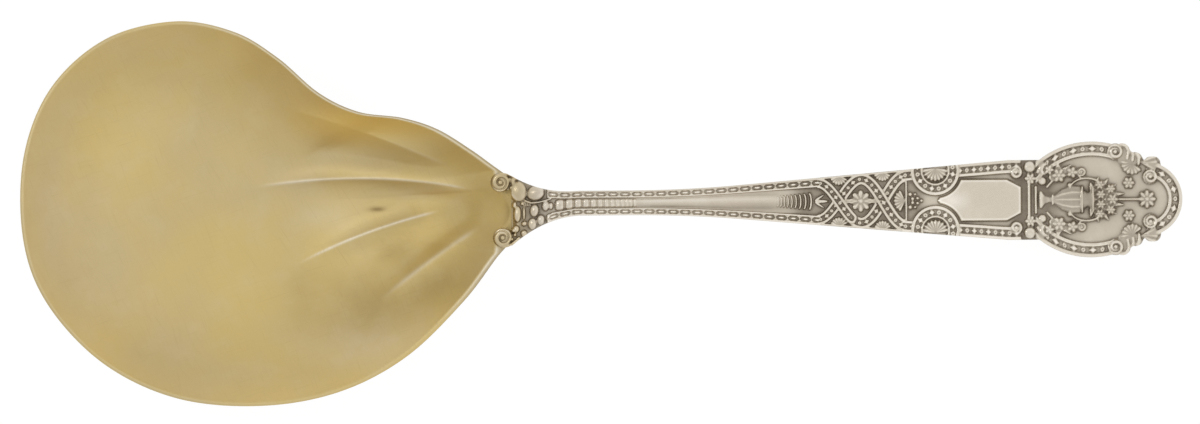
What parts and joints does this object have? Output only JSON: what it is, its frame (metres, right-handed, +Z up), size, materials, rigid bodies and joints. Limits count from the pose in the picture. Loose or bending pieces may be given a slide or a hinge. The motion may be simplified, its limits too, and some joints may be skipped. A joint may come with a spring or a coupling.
{
  "type": "berry spoon",
  "caption": "Serving spoon with a broad, shallow, fluted kidney-shaped gilt bowl and a flaring die-struck silver handle with beaded borders and a shield-shaped end.",
  "frame": {"origin": "middle of the flat spot under the bowl, on the surface that the spoon lies on", "axes": "+X along the handle from bowl to end, +Z up out of the bowl, +Y towards the notched lobe"},
  "size_m": [0.2346, 0.0777, 0.0238],
  "materials": {
    "gilt": "satin gilding over silver, finely scratched",
    "silver": "soft polish on the high parts, dark tarnish in the recesses",
    "solder": "dull silver solder"
  },
  "bodies": {
    "root": {"bowl": "gilt", "handle": "silver", "solder_seam": "solder"}
  },
  "joints": []
}
